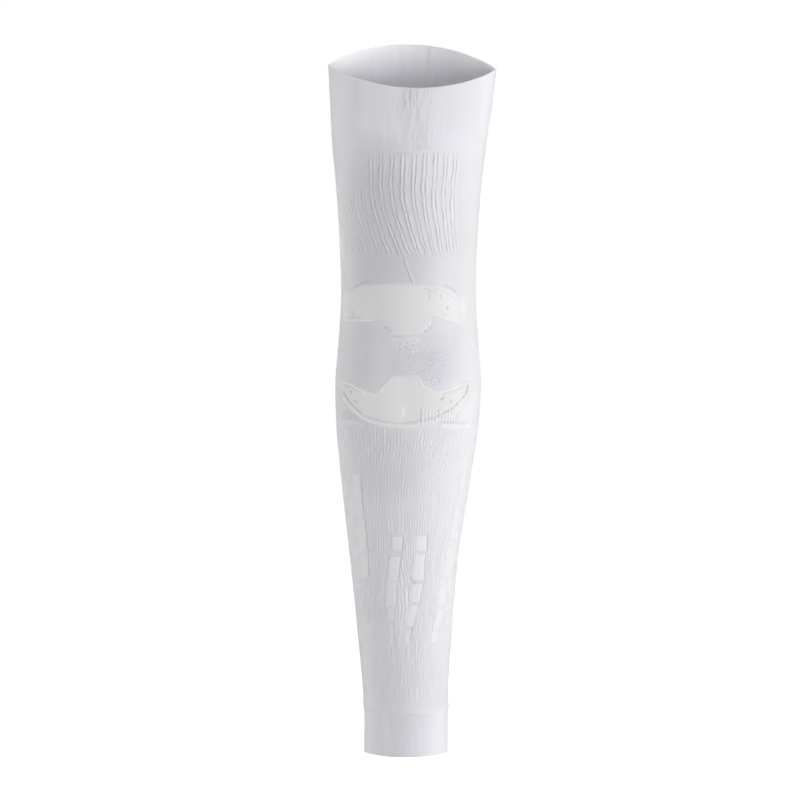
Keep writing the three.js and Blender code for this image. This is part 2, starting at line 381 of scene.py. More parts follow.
def clothTint(start, look, place, shade):
    cloud = start.node("ShaderNodeTexNoise", None,
                       {"Vector": place, "Scale": look["cloudScale"], "Detail": 3.0, "Roughness": 0.55})
    # darker where the stitches dip: painted shade between the stitches, with the fuzz adding the yarn's own
    # random tone
    tint = start.mix(shade, look["deepColour"], look["yarnColour"])
    tint = start.mix(cloud * look["cloudShare"], tint, look["cloudColour"])
    x, y, z = start.split(place)
    turn = start.math("ARCTAN2", x * (1 / sleeve["elbowWidth"]), y * (-1 / sleeve["elbowDepth"]))
    height = z * (1 / millimetre)
    side = between(abs(start.math("COSINE", turn)), *look["sideShadeFrom"])  # painted light and shade round the sides: the side colour takes over as the surface turns from the front, lighter with a weaker cast on the knit and welt, darker on the pads and strips
    tint = start.mix(side, tint, look["sideShadeColour"])
    for middle, reach, below, above, colour in look["shadeAndLightAreas"]:  # painted shade and painted light: each area makes the colour darker or lighter
        share = between(start.math("COSINE", turn - math.radians(middle)), *reach)
        for limit in (below, above):
            if limit:
                share = share * between(height, *limit)
        tint = start.mix(share, tint, colour, "MULTIPLY")
    return tint


def clothMaterial(name, look, ground=None):
    material, start = newMaterial(name)
    place = start.node("ShaderNodeTexCoord", None, None, "Object")
    knit = start.node("ShaderNodeUVMap", {"uv_map": "knit"})
    wale, course = start.split(knit)[:2]
    mask, tone = start.split(start.node("ShaderNodeUVMap", {"uv_map": "lie"}))[:2]
    stitch = stitchHeight(wale, course, look["slant"])
    fuzz = start.node("ShaderNodeTexNoise", None,
                      {"Vector": place, "Scale": look["fuzzScale"], "Detail": 2.0, "Roughness": 0.6})
    shade = yarn["stitchShade"] * stitch + (1 - yarn["stitchShade"]) * fuzz
    relief = stitch * (1 - look["fuzzShare"]) + fuzz * look["fuzzShare"]
    tint = clothTint(start, look, place, shade)
    if ground:  # a pad or strip pales into the knit at its edge
        tint = start.mix(mask, clothTint(start, ground, place, shade), tint)
    if "meshHoleShadeColour" in look:  # painted shade in the small holes and painted highlights on the loops where the knit opens into mesh
        slanted = start.node("ShaderNodeMapping", {"vector_type": "TEXTURE"},
                             {"Vector": knit, "Rotation": (0, 0, look["meshSlant"]),
                              "Scale": look["meshStretch"]})
        speck = start.node("ShaderNodeTexNoise", None,
                           {"Vector": slanted, "Scale": look["meshScale"], "Detail": 1.0, "Roughness": 0.5})
        tint = start.mix(mask * between(speck, *look["holeFrom"]), tint, look["meshHoleShadeColour"], "MULTIPLY")
        tint = start.mix(mask * between(speck, *look["loopFrom"]), tint, look["loopHighlightColour"], "MULTIPLY")
        relief = relief + mask * speck * look["meshBump"]
    if "innerLightColour" in look:  # the inner face is painted lighter: painted light inside the opening
        tint = start.mix(mask, tint, look["innerLightColour"], "MULTIPLY")
    # the tone paints shade into the grooves and a highlight onto the ridges
    tint = start.mix(0 - tone, tint, look["grooveShadeColour"], "MULTIPLY")
    tint = start.mix(tone, tint, look["ridgeHighlightColour"], "MULTIPLY")
    bump = start.node("ShaderNodeBump", None,
                      {"Strength": 1.0, "Distance": look["stitchDepth"] * millimetre, "Height": relief})
    roughness = look["roughness"] + yarn["roughnessSwing"] * (fuzz - 0.5)
    shader = start.node("ShaderNodeBsdfPrincipled", None,
                        {"Base Color": tint, "Roughness": roughness, "Normal": bump,
                         "Specular IOR Level": look["specular"], "Sheen Weight": look["sheen"],
                         "Sheen Roughness": 0.5})
    start.node("ShaderNodeOutputMaterial", None, {"Surface": shader})
    return material


# Finishes. The knit has a faint lilac cast, and the pads and strips are a warmer white. An area of painted
# shade or painted light has the turn of its middle, the cosines where it begins and is full, the heights
# that it lies below and above, or None, and its tint.
finishes = {
    "knit": {
        "yarnColour": (0.875, 0.868, 0.912, 1), "deepColour": (0.80, 0.79, 0.849, 1),
        "cloudColour": (0.85, 0.848, 0.875, 1), "cloudShare": 0.5, "cloudScale": 26.0,
        "fuzzScale": 900.0, "fuzzShare": 0.3, "stitchDepth": 0.2, "slant": 1.3,
        "roughness": 0.85, "specular": 0.25, "sheen": 0.15,
        "sideShadeColour": (0.878, 0.873, 0.898, 1), "sideShadeFrom": (0.75, 0.45),
        "grooveShadeColour": (0.77, 0.77, 0.78, 1), "ridgeHighlightColour": (1.12, 1.12, 1.12, 1),
        "meshHoleShadeColour": (0.78, 0.78, 0.80, 1), "loopHighlightColour": (1.17, 1.17, 1.16, 1),
        "meshScale": 0.85, "meshSlant": 0.55, "meshStretch": (1.5, 0.75, 1.0), "meshBump": 2.0,
        "holeFrom": (0.47, 0.36), "loopFrom": (0.46, 0.62),
        "shadeAndLightAreas": (
            (-24, (0.6, 0.96), (132.0, 104.0), (24.0, 44.0), (0.9, 0.9, 0.9, 1)),
            (-60, (0.82, 0.98), (50.0, 20.0), (-62.0, -40.0), (0.92, 0.92, 0.925, 1)),
            (-30, (0.6, 0.95), (-40.0, -56.0), (-100.0, -78.0), (0.945, 0.945, 0.945, 1)),
            (10, (0.86, 0.955), (8.0, -3.0), (-30.0, -20.0), (0.94, 0.94, 0.945, 1)),
            (29, (0.92, 0.985), (16.0, 6.0), (-24.0, -14.0), (0.96, 0.96, 0.965, 1)),
            (8, (0.956, 0.988), (127.0, 118.0), (54.0, 66.0), (1.045, 1.045, 1.045, 1)),
            (40, (0.75, 0.95), None, (-40.0, 0.0), (0.96, 0.96, 0.96, 1)),
        ),
    },
    "welt": {
        "yarnColour": (0.87, 0.863, 0.917, 1), "deepColour": (0.81, 0.802, 0.861, 1),
        "cloudColour": (0.845, 0.843, 0.88, 1), "cloudShare": 0.5, "cloudScale": 22.0,
        "fuzzScale": 1100.0, "fuzzShare": 0.3, "stitchDepth": 0.14, "slant": 1.2,
        "roughness": 0.8, "specular": 0.25, "sheen": 0.12,
        "sideShadeColour": (0.865, 0.858, 0.895, 1), "sideShadeFrom": (0.75, 0.45),
        "grooveShadeColour": (0.84, 0.84, 0.85, 1), "ridgeHighlightColour": (1.06, 1.06, 1.06, 1),
        "innerLightColour": (1.145, 1.145, 1.125, 1),
        "shadeAndLightAreas": (
            (5, (0.76, 0.95), (-215.0, -232.0), None, (0.93, 0.93, 0.935, 1)),
            (-51, (0.93, 0.985), (-215.0, -232.0), None, (0.955, 0.955, 0.955, 1)),
            (-27, (0.89, 0.985), None, (126.0, 142.0), (1.1, 1.1, 1.1, 1)),
            (50, (0.9, 0.98), None, (126.0, 144.0), (0.955, 0.955, 0.955, 1)),
            (40, (0.75, 0.95), None, (-40.0, 0.0), (0.96, 0.96, 0.96, 1)),
        ),
    },
    "pad": {
        "yarnColour": (0.862, 0.863, 0.863, 1), "deepColour": (0.81, 0.811, 0.811, 1),
        "cloudColour": (0.858, 0.858, 0.856, 1), "cloudShare": 0.5, "cloudScale": 30.0,
        "fuzzScale": 1300.0, "fuzzShare": 0.45, "stitchDepth": 0.08, "slant": 1.0,
        "roughness": 0.75, "specular": 0.3, "sheen": 0.08,
        "sideShadeColour": (0.785, 0.785, 0.788, 1), "sideShadeFrom": (0.8, 0.55),
        "grooveShadeColour": (0.76, 0.76, 0.77, 1), "ridgeHighlightColour": (1.12, 1.12, 1.12, 1), "palesInto": "knit",
        "shadeAndLightAreas": (
            (32, (0.85, 0.97), None, None, (0.96, 0.96, 0.96, 1)),
            (-27, (0.866, 0.956), (0.0, -10.0), None, (1.05, 1.05, 1.05, 1)),
            (18, (0.9, 0.97), (0.0, -10.0), None, (0.965, 0.965, 0.965, 1)),
        ),
    },
    "strip": {
        "yarnColour": (0.868, 0.866, 0.883, 1), "deepColour": (0.826, 0.824, 0.84, 1),
        "cloudColour": (0.86, 0.86, 0.872, 1), "cloudShare": 0.4, "cloudScale": 40.0,
        "fuzzScale": 1300.0, "fuzzShare": 0.45, "stitchDepth": 0.07, "slant": 1.0,
        "roughness": 0.75, "specular": 0.3, "sheen": 0.08,
        "sideShadeColour": (0.80, 0.798, 0.808, 1), "sideShadeFrom": (0.9, 0.75),
        "grooveShadeColour": (0.86, 0.86, 0.87, 1), "ridgeHighlightColour": (1.05, 1.05, 1.05, 1), "palesInto": "knit",
        "shadeAndLightAreas": (
            (-47, (0.9, 0.97), None, None, (1.045, 1.045, 1.045, 1)),
        ),
    },
}
cloth = {}
for slot, look in finishes.items():
    cloth[slot] = clothMaterial(slot + "Cloth", look, finishes.get(look.get("palesInto")))
print("finishes made:", ", ".join(cloth))


# Top band: the doubled welt, folded over at the rim.
topBand = {
    "columns": (-60.0, 62.0, 0.3, 1.0),  # from, to, step between them, and step round the back
    "rowStep": 1.1,
    "innerStep": 3.0,
    "waleDepth": 0.15,
    "waleMiddle": 3.0,
    "waleSpread": 17.0,
    "longWales": (480, 17, 4),  # cells round the tube, their height and the seed
    "longShare": 0.6,
    "shortWales": (480, 6, 5),
    "shortShare": 0.45,
    "creaseTurn": -4.0,  # where the wales are drawn together
    "creaseHeight": 163.0,
    "creaseWide": 5.0,
    "creaseTall": 8.0,
    "creaseShare": 1.5,
    "creaseShade": 0.4,
    "backDepth": 0.13,  # wales that show inside, at the back
    "backSpread": 22.0,
    "backFade": (4.0, 20.0),  # heights above the band's foot
    "backWales": (120, 12, 7),
    "patches": (60, 9, 3),
    "patchShare": 0.6,
    "lines": ((-19.0, 158.0, 0.12), (0.2, 176.0, 0.06)),  # turn, top and lift of wales that stand out
    "lineHalf": 0.6,
    "lineFade": 6.0,
    "toneDepth": 0.15,  # relief that gives the full tone
    "flat": (0.234, 0.049),
}


def topBandRelief(turn, height):
    b = topBand
    crease = bell(turn - b["creaseTurn"], b["creaseWide"])
    crease = crease * bell(height - b["creaseHeight"], b["creaseTall"])
    short = (b["shortShare"] + b["creaseShare"] * crease) * roundNoise(turn, height, *b["shortWales"])
    wales = b["longShare"] * roundNoise(turn, height, *b["longWales"]) + short
    front = b["waleDepth"] * bell(turn - b["waleMiddle"], b["waleSpread"]) * wales
    back = b["backDepth"] * bell(np.abs(turn - 180), b["backSpread"])
    back = back * ramp(height - sleeve["bandFoot"], *b["backFade"])
    back = back * roundNoise(turn, height, *b["backWales"])
    patchy = b["patchShare"] * (1 + roundNoise(turn, height, *b["patches"]))
    relief = front + back * patchy
    for place, top, lift in b["lines"]:
        relief += lift * bell(turn - place, b["lineHalf"]) * ramp(top - height, 0, b["lineFade"])
    # the crease is painted darker: painted shade where the wales are drawn together
    return relief, relief / b["toneDepth"] - b["creaseShade"] * crease


def makeTopBand():
    b = topBand
    foot = sleeve["bandFoot"] + sleeve["seamGap"] / 2
    head = sleeve["rimHeight"] - sleeve["rimFold"] / 2
    inner = spread(head, foot, b["innerStep"])
    loop = wallLoop(edgedRows(foot, head, b["rowStep"]), inner, foldedWall(inner, head),
                    crown=foldRows(head, 1), innerShare=1.0)
    columns = frontColumns(*b["columns"])
    mesh = tubeMesh("topBandWelt", columns, loop, topBandRelief, None, innerFace(loop, columns))
    piece = addPiece("topBandWelt", mesh, "welt", "top_band")


# Upper arm: paired ribs down the front, which lean to one side on their way to the elbow.
upperArm = {
    "columns": (-80.0, 52.0, 0.22, 2.0),
    "rowStep": 0.9,
    "innerStep": 6.0,
    "pairs": 14,
    "first": -72.0,
    "pitch": 8.4,
    "split": 3.1,
    "grooveHalf": 0.37,
    "grooveDepth": 0.56,
    "grooveTone": 1.25,
    "ridgeLift": 0.2,
    "ridgeTone": 0.9,
    "outerRidge": 0.6,  # the ridge beside a pair, against the one within it
    "topFade": (1.0, 5.0),  # distances from the ends of the ribs
    "footFade": (0.5, 5.0),
    "even": 0.8,  # a rib's strength, and how far it swings
    "uneven": 0.5,
    "pairNoise": (3.0, 4.0, 64, 11),  # cells from pair to pair, their height, cells in all and the seed
    "lateStart": 104.0,
    "lateRibs": -34.0,  # ribs left of this turn begin further down
    "strength": ((-80, 0.45), (-55, 0.9), (-36, 1.2), (-12, 1.1), (10, 1.0), (24, 0.85), (46, 0.65)),
    "leanRoute": (  # height and degrees to the side
        (58, 16.4), (60, 15), (70, 9.4), (80, 4.7), (90, 0.8), (101, -1.2), (112, -0.4), (126, 0)),
    "leanShare": (  # turn and share of that lean
        (-95, 0), (-75, 0.7), (-50, 0.95), (-12, 1), (4, 0.8), (13, 0.66), (25, 0.52), (37, 0.42), (62, 0)),
    "strays": ((0.6, 90, 7, 5), (0.34, 120, 2.4, 6)),  # degrees, cells round, their height and the seed
    "straySpan": (-85.0, 52.0, 10.0, 7.0),  # from, to, rise and fall
    "seamRoute": ((-10.6, 125.6), (8, 125.2), (41.2, 124.6)),
    "seamLift": 0.12,
    "seamHalf": 0.9,
    "stitchRoute": ((-10.5, 123.8), (1.4, 123.9)),
    "stitchDepth": 0.3,
    "stitchHalf": 0.45,
    "seamTone": 2.0,
    "flat": (0.222, 0.068),
}
leanRows = smoothRoute(upperArm["leanRoute"])


def ribLean(rest, height):
    u = upperArm
    share = np.interp(rest, *zip(*u["leanShare"]))
    stray = window(rest, *u["straySpan"]) * strayNoise(rest, height, u["strays"])
    return share * np.interp(height, *leanRows.T) + stray


def upperArmRelief(rest, height):
    u = upperArm
    apart, tall, cells, seed = u["pairNoise"]
    side = u["split"] / 2
    crown = u["split"] / 3
    relief = np.zeros_like(rest)
    tone = np.zeros_like(rest)
    for pair in range(u["pairs"]):
        centre = u["first"] + u["pitch"] * pair
        start = u["lateStart"] if centre < u["lateRibs"] else sleeve["bandFoot"]
        strength = ramp(start - height, *u["topFade"]) * ramp(height - sleeve["ribFoot"], *u["footFade"])
        strength = strength * np.interp(centre, *zip(*u["strength"]))
        noise = softNoise(np.full_like(height, pair * apart), height / tall, cells, seed)
        strength = strength * (u["even"] + u["uneven"] * noise)
        across = rest - centre
        grooves = bell(across + side, u["grooveHalf"]) + bell(across - side, u["grooveHalf"])
        ridges = bell(across, crown) + u["outerRidge"] * bell(across - u["split"], crown)
        relief += strength * (u["ridgeLift"] * ridges - u["grooveDepth"] * grooves)
        tone += strength * (u["ridgeTone"] * ridges - u["grooveTone"] * grooves)
    seam = u["seamLift"] * bell(lineGap(rest, height, u["seamRoute"]), u["seamHalf"])
    seam = seam - u["stitchDepth"] * bell(lineGap(rest, height, u["stitchRoute"]), u["stitchHalf"])
    return relief + seam, tone + u["seamTone"] * seam


def makeUpperArm():
    loop = singleWall(upperArm, sleeve["ribFoot"], sleeve["bandFoot"])
    columns = frontColumns(*upperArm["columns"])
    mesh = tubeMesh("upperArmKnit", columns, loop, upperArmRelief, ribLean)
    piece = addPiece("upperArmKnit", mesh, "knit", "upper_arm_knit")


# Elbow: plain knit with an open mesh between the two pads.
elbow = {
    "columns": (-76.0, 68.0, 0.5, 2.4),
    "rowStep": 0.5,
    "innerStep": 6.0,
    "meshTurns": (-41.0, 43.0, 10.0, 10.0),  # from, to, rise and fall
    "meshHeights": (-22.5, 12.0, 6.0, 4.0),
    "meshPatches": (  # turn, height, width, tallness and strength of the more open places
        (-1, 4, 13, 5, 1.0), (22, -5, 10, 5, 0.8), (21, -18, 7, 4, 1.0), (-33, -1, 6, 6, 0.5),
        (5, -12, 12, 3, 0.6), (-15, -7, 10, 5, 0.2)),
    "leastOpen": 0.1,
    "patchMean": 0.75,
    "patchSwing": 0.5,
    "patchCells": (4, 3, 23),  # width, height and the seed
    "padClear": (-0.6, 0.2),  # the mesh stops at the pads' edges
    "loopWidth": 2.7,  # the open mesh's loops, set in staggered rows
    "loopTall": 3.8,
    "loopSlant": 0.3,
    "loopShare": 0.8,
    "strayCells": (1.6, 1.6, 21),
    "strayAcross": 0.2,
    "strayUp": 0.15,
    "strayShare": 0.5,
    "meshSink": 0.1,
    "meshDepth": 0.26,
    "toneDepth": 0.5,
    "routes": (  # points, lift and half width of each ridge, or groove where the lift is below nothing
        (((-3.4, 60), (-1.2, 54), (1.6, 48.5), (4.4, 43.5)), 0.32, 0.55),
        (((-5, 60), (-2.8, 54), (0, 48.5), (2.8, 43.5)), -0.24, 0.5),
        (((-11.1, 8.1), (-6, 9.3), (-1.2, 9.6), (4, 9.3), (8.5, 8.1)), 0.3, 0.7),
        (((-62, 35.6), (-54, 39), (-43, 42.4), (-35.7, 44)), -0.24, 0.6),
        (((-58, 39.4), (-50, 42.4), (-42, 44.6)), 0.16, 0.9),
        (((-52.6, 40.4), (-51.4, 39.6)), -0.3, 0.6),
        (((32, 41), (38, 39.4), (44.5, 36.6)), -0.3, 0.6),
        (((-20.6, 15.5), (-16.6, 15.5)), -0.34, 0.45),
        (((-17, 13.4), (-14.4, 13.4)), -0.34, 0.45),
        (((12.6, 13.2), (16, 13.4)), -0.34, 0.45),
        (((15.6, 15.2), (19.4, 15.2)), -0.34, 0.45),
        (((-13, 10.8), (-4, 10), (6, 10.8)), -0.2, 0.5),
        (((-69.3, -40.8), (-60, -40), (-52.7, -39.4)), 0.2, 0.7),
    ),
    "ladders": (((-42, 11.7), (-40.5, -5.6)), ((35.8, 10.8), (35.2, 0.3))),
    "ladderPitch": 1.5,
    "ladderLift": 0.24,
    "ladderHalf": 0.9,
    "ribAreas": (  # first and last turn, foot, head, pitch and lift of the short ribs below the lower pad
        (-68, -42, -44.4, -37.5, 2.6, 0.2), (-54, -44, -44, -38, 2.6, 0.3), (22, 48, -46, -38, 2.9, 0.34)),
    "ribSides": (5.0, 5.0),  # how they rise and fall across, and from foot to head
    "ribEnds": (1.0, 2.0),
    "padBed": 1.05,  # the knit dips under the pads, so that their grooves show
    "bedEdge": (0.9, 2.0),
    "flat": (0.217, 0.104),
}
seamRidges = {  # soft ridges where the elbow meets the forearm, on either side of the lower pad
    "routes": ((((-67, -46), (-56, -45.3), (-46, -44.7), (-38, -45.6)), 0.8, 0.9),
               (((28, -46.2), (41, -47.1), (58, -48.4)), 0.8, 0.9),
               (((28, -44.2), (41, -44.9), (56, -46)), -0.22, 0.7)),
    "tone": 1.4,
}


def routesLift(turn, height, routes):
    lift = np.zeros_like(height)
    for route, rise, width in routes:
        route = smoothRoute(route) if len(route) > 2 else route
        lift += rise * bell(lineGap(turn, height, route), width)
    return lift


def meshOpenness(turn, height):
    e = elbow
    openness = np.full_like(turn, e["leastOpen"])
    for centre, middle, width, tall, strength in e["meshPatches"]:
        openness += strength * bell(turn - centre, width) * bell(height - middle, tall)
    patchy = e["patchMean"] + e["patchSwing"] * arcNoise(turn, height, *e["patchCells"])
    openness = np.clip(openness * patchy, 0, 1)
    openness = openness * window(turn, *e["meshTurns"]) * window(height, *e["meshHeights"])
    for pad in (upperPad, lowerPad):
        openness = openness * (1 - ramp(padInside(pad, turn, height), *e["padClear"]))
    return openness


def meshRelief(turn, height):
    e = elbow
    astray = arcNoise(turn, height, *e["strayCells"])
    across = (arc(turn) + e["loopSlant"] * height) / e["loopWidth"] + e["strayAcross"] * astray
    up = height / e["loopTall"] - e["strayUp"] * astray
    loops = np.cos(across * 2 * math.pi) * np.cos(up * 2 * math.pi)
    lift = e["loopShare"] * loops + e["strayShare"] * astray - e["meshSink"]
    return e["meshDepth"] * meshOpenness(turn, height) * lift


def elbowRelief(turn, height):
    e = elbow
    relief = meshRelief(turn, height)
    relief += routesLift(turn, height, e["routes"]) + routesLift(turn, height, seamRidges["routes"])
    rungs = 0.5 + 0.5 * np.cos(height * 2 * math.pi / e["ladderPitch"])
    for ladder in e["ladders"]:
        relief += e["ladderLift"] * rungs * bell(lineGap(turn, height, ladder), e["ladderHalf"])
    for low, high, foot, head, pitch, rise in e["ribAreas"]:
        ribbed = window(turn, low, high, *e["ribSides"]) * window(height, foot, head, *e["ribEnds"])
        relief += rise * ribbed * np.cos(turn * 2 * math.pi / pitch)
    tone = relief / e["toneDepth"]
    for pad in (upperPad, lowerPad):
        bed = ramp(padInside(pad, turn, height), *e["bedEdge"])
        bed = bed * ramp(padEnds(pad, turn), *padForm["bedEnds"])
        relief = relief * (1 - bed) - e["padBed"] * bed
    return relief, tone


def makeElbow():
    loop = singleWall(elbow, sleeve["elbowFoot"], sleeve["ribFoot"])
    columns = frontColumns(*elbow["columns"])
    openness = meshOpenness(*np.meshgrid(columns, loop[:, 0]))
    mesh = tubeMesh("elbowKnit", columns, loop, elbowRelief, None, openness)
    piece = addPiece("elbowKnit", mesh, "knit", "elbow_knit")


# Strips: each runs from one turn to another as it goes down the forearm.
strips = {
    "lines": {  # top, bottom, turn at the top, turn at the bottom, width, how much it shows
        "left": ((-77.5, -94.7, -49.4, -49.6, 7.6, 1), (-95.7, -104.8, -49, -48.8, 7.2, 1),
                 (-106, -127, -47, -46.6, 6.4, 1), (-128.5, -143.6, -46, -47.6, 5.8, 0.9),
                 (-171.8, -182.6, -46.8, -47.4, 6, 0.2)),
        "mid_left": ((-115.5, -125.1, -7.2, -8, 6.9, 1), (-128.3, -144, -9.2, -13.2, 6.8, 0.95),
                     (-144.4, -160.2, -13.6, -16.2, 7.2, 0.58), (-161.4, -169.3, -16.4, -16.6, 4.8, 0.4),
                     (-171, -185.3, -16.6, -17, 3.2, 0.3)),
        "mid_right": ((-115.7, -125.3, 16.8, 17, 7.4, 1), (-127.6, -143.7, 16.2, 15, 7.4, 0.95),
                      (-146.3, -158, 14.2, 11.6, 7, 0.62), (-159.4, -174, 11, 5, 6, 0.35),
                      (-175.4, -185, 4.4, 1, 4, 0.25)),
        "right": ((-77.9, -91.9, 59.6, 60, 4.4, 1), (-100, -119.6, 59.6, 58.6, 6.8, 1),
                  (-125.2, -143.5, 56.4, 54.6, 7.4, 1), (-149.6, -162, 50, 48.2, 7.2, 0.55),
                  (-163.4, -176, 47.4, 42, 5.8, 0.35), (-177.4, -185, 40.6, 37.8, 5.4, 0.3)),
    },
    "innerSide": {"left": 1, "mid_left": 0, "mid_right": 0, "right": -1},  # the side whose edge is drawn in
    "rise": 0.16,
    "sunk": 0.12,
    "wall": 0.15,
    "edgeStart": -0.05,
    "softEdge": 1.1,
    "paleEdge": 1.2,
    "crispEnd": 2.5,  # the ends pale faster than the sides
    "cornerRound": 0.6,
    "ragged": 0.05,  # how far the width strays, as a share
    "raggedTall": 3.0,
    "raggedCells": 8,
    "firstSeed": 40,
    "faintTone": 0.35,  # a strip that hardly shows is shaded like the ribs beside it
    "columns": 15,
    "rowStep": 0.4,
}


def degreesFor(width, turn, height):
    section = sectionAt(np.array(height, float))
    halfWidth, front = section[0], section[2]
    angle = np.radians(turn)
    return width / np.radians(np.hypot(halfWidth * np.cos(angle), front * np.sin(angle)))


def stripMesh(name, row, seed):
    s = strips
    top, bottom, topTurn, bottomTurn, width, shows = row
    heights = spread(bottom, top, s["rowStep"])
    toEnd = np.minimum(heights - bottom, top - heights)
    corner = np.clip(1 - toEnd / s["cornerRound"], 0, 1)
    noise = softNoise(np.full_like(heights, 0.5), heights / s["raggedTall"], s["raggedCells"], seed)
    half = width / 2 * (1 + s["ragged"] * noise) - s["cornerRound"] * (1 - np.sqrt(1 - corner ** 2))
    middle = np.interp(heights, (bottom, top), (bottomTurn, topTurn))
    share = np.sin(np.linspace(-0.5, 0.5, s["columns"]) * math.pi)  # columns crowd towards the edges
    turn = middle[:, None] + share[None, :] * degreesFor(half, middle, heights)[:, None]
    height = np.broadcast_to(heights[:, None], turn.shape)
    edge = np.minimum((1 - np.abs(share))[None, :] * half[:, None], s["crispEnd"] * toEnd[:, None])
    face = -s["sunk"] + (s["rise"] * shows + s["sunk"]) * ramp(edge, s["edgeStart"], s["softEdge"])
    under = np.full_like(face, -s["sunk"] - s["wall"])
    mask = shows * ramp(edge, 0, s["paleEdge"])
    tone = np.full_like(mask, s["faintTone"] * (shows - 1))
    return skinMesh(name, turn, height, face, under, mask, tone)


def makeStrips():
    made = []
    for line, rows in strips["lines"].items():
        for number, row in enumerate(rows, 1):
            node = "strip_%s_%d" % (line, number)
            name = "flatStrip_%s_%d" % (line, number)
            mesh = stripMesh(name, row, strips["firstSeed"] + len(made))
            made.append(addPiece(name, mesh, "strip", node))
    return made


# Forearm: fine ribs all round, pulled aside a little between the strips. Spans and fades are
# distances below the elbow, where they aren't turns.
forearm = {
    "ribs": 138,
    "columnsPerRib": 6,
    "rowStep": 1.8,
    "innerStep": 16.0,
    "grooveShare": 45.0,  # degrees of a rib's round taken by its groove
    "crown": 0.35,  # a rib's crown, against the depth of its groove
    "ribDepth": 0.2,
    "even": 0.7,  # a rib's strength, and how far it swings
    "uneven": 1.0,
    "ribNoise": (3.4, 33),  # height of a cell and the seed
    "ribTop": 46.0,
    "fullFrom": 49.0,
    "sideDelay": 12.0,  # the ribs begin more softly round the sides and the back
    "sideTurns": (68.0, 95.0),
    "strength": 1.25,
    "strengthSteps": ((56, 75, -0.5), (95, 115, 0.25)),  # from, to and change
    "losses": ((158, 200, 0.7), (214, 224, 1.0)),  # from, to and share lost
    "leftLoss": 0.75,  # they fade sooner towards the -X side
    "leftFade": (150.0, 178.0),
    "leftTurns": (-24.0, -4.0),
    "middleGain": 0.9,  # the ribs stand out between the middle strips
    "middleTurn": 4.0,
    "middleWide": 10.0,
    "middleSpan": (108.0, 168.0, 14.0, 18.0),  # from, to, rise and fall
    "pulls": (  # degrees aside, turn, width and span
        (7.0, 1, 8, (128, 190, 25, 32)), (5.0, 6, 32, (0, 88, 1, 42))),
    "strays": ((0.7, 60, 9, 31), (0.5, 100, 4, 32)),
    "streaks": 96,  # loosened ribs above the cuff
    "streakTurns": (-36.0, 58.0, 36.0, 14.0),
    "streakHeights": (-222.0, -160.0, 4.0, 20.0),
    "streakNoise": (8, 34),
    "streakFrom": (-0.25, 0.55),
    "streakDepth": 0.24,
    "edgeGroove": 0.12,  # beside the strips
    "edgeAway": 0.35,
    "edgeHalf": 0.5,
    "stripBed": 0.1,
    "bedEdge": 0.8,
    "bedEnd": 1.5,
    "bedFade": 2.0,
    "toneDepth": 0.16,
    "sideTone": 0.4,  # the painted shade in the grooves is stronger towards the -X side
    "sideToneTurns": (10.0, 40.0),
    "flat": (0.208, 0.183),
    "flatArea": 0.0324,
}
cuffSeam = {  # the soft ridge where the cuff meets the forearm
    "route": (  # turn and height
        (-180, -228), (-100, -226), (-60, -225.5), (0, -225.5), (12, -228), (40, -229), (90, -227.5),
        (180, -228)),
    "lift": 0.6,
    "half": 2.8,
    "tone": 0.4,
}


def forearmLean(rest, height):
    lean = strayNoise(rest, height, forearm["strays"])
    for aside, middle, wide, span in forearm["pulls"]:
        lean += aside * bell(rest - middle, wide) * window(-height, *span)
    return lean


def cuffRidge(turn, height):
    line = np.interp(turn, *zip(*cuffSeam["route"]))
    return cuffSeam["lift"] * bell(height - line, cuffSeam["half"])


def ribWave(rest, count):
    groove = bell(np.mod(rest * count, 360) - 180, forearm["grooveShare"])
    return forearm["crown"] - (1 + forearm["crown"]) * groove


def ribStrength(turn, down):
    f = forearm
    fullFrom = f["fullFrom"] + f["sideDelay"] * ramp(np.abs(turn), *f["sideTurns"])
    steps = sum(change * ramp(down, low, high) for low, high, change in f["strengthSteps"])
    strength = ramp(down, f["ribTop"], fullFrom) * (f["strength"] + steps)
    strength *= 1 - f["leftLoss"] * ramp(down, *f["leftFade"]) * (1 - ramp(turn, *f["leftTurns"]))
    middle = bell(turn - f["middleTurn"], f["middleWide"]) * window(down, *f["middleSpan"])
    strength *= 1 + f["middleGain"] * middle
    for low, high, loss in f["losses"]:
        strength *= 1 - loss * ramp(down, low, high)
    return strength


def stripBeds(turn, height):  # the grooves beside the strips, and the beds that they lie in
    f = forearm
    grooves = np.zeros_like(height)
    bed = np.zeros_like(height)
    for line, rows in strips["lines"].items():
        drawn = strips["innerSide"][line]
        for top, bottom, topTurn, bottomTurn, width, shows in rows:
            middle = np.interp(height, (bottom, top), (bottomTurn, topTurn))
            half = degreesFor(width / 2, middle, height)
            inside = window(height, bottom - f["bedEnd"], top + f["bedEnd"], f["bedFade"], f["bedFade"])
            away = (np.abs(turn - middle) - half) / degreesFor(1.0, middle, height)
            beside = np.where((turn - middle) * drawn < 0, 0.0, 1.0)
            grooves += f["edgeGroove"] * shows * beside * inside * bell(away - f["edgeAway"], f["edgeHalf"])
            bed = np.maximum(bed, inside * (1 - ramp(away, -f["bedEdge"], 0)))
    return grooves, bed


